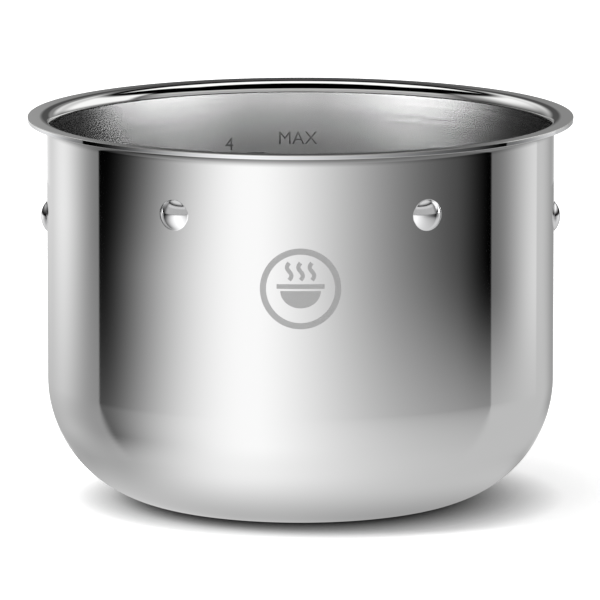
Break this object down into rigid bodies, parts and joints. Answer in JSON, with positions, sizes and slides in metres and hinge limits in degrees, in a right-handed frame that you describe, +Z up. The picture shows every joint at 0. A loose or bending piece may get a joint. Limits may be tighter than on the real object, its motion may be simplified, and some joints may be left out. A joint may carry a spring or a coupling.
{
  "type": "multicooker inner pot",
  "caption": "Deep round cooking pot of clad steel for a multicooker, with a flat rim to hang it by, a large round at the base and a ring of dome studs on the wall.",
  "frame": {"origin": "centre of the base's underside", "axes": "+Z up along the pot's axis, -Y towards the front with the etched badge, +X to the right as seen from the front"},
  "size_m": [0.2258, 0.2258, 0.1603],
  "materials": {
    "polished_steel": "polished",
    "core_aluminium": "satin",
    "satin_steel": "satin",
    "stud_steel": "polished"
  },
  "bodies": {
    "root": {"outer_ply": "polished_steel", "core_ply": "core_aluminium", "inner_ply": "satin_steel", "stud_front_right": "stud_steel", "stud_side_right": "stud_steel", "stud_back_right": "stud_steel", "stud_back_left": "stud_steel", "stud_side_left": "stud_steel", "stud_front_left": "stud_steel"}
  },
  "joints": []
}
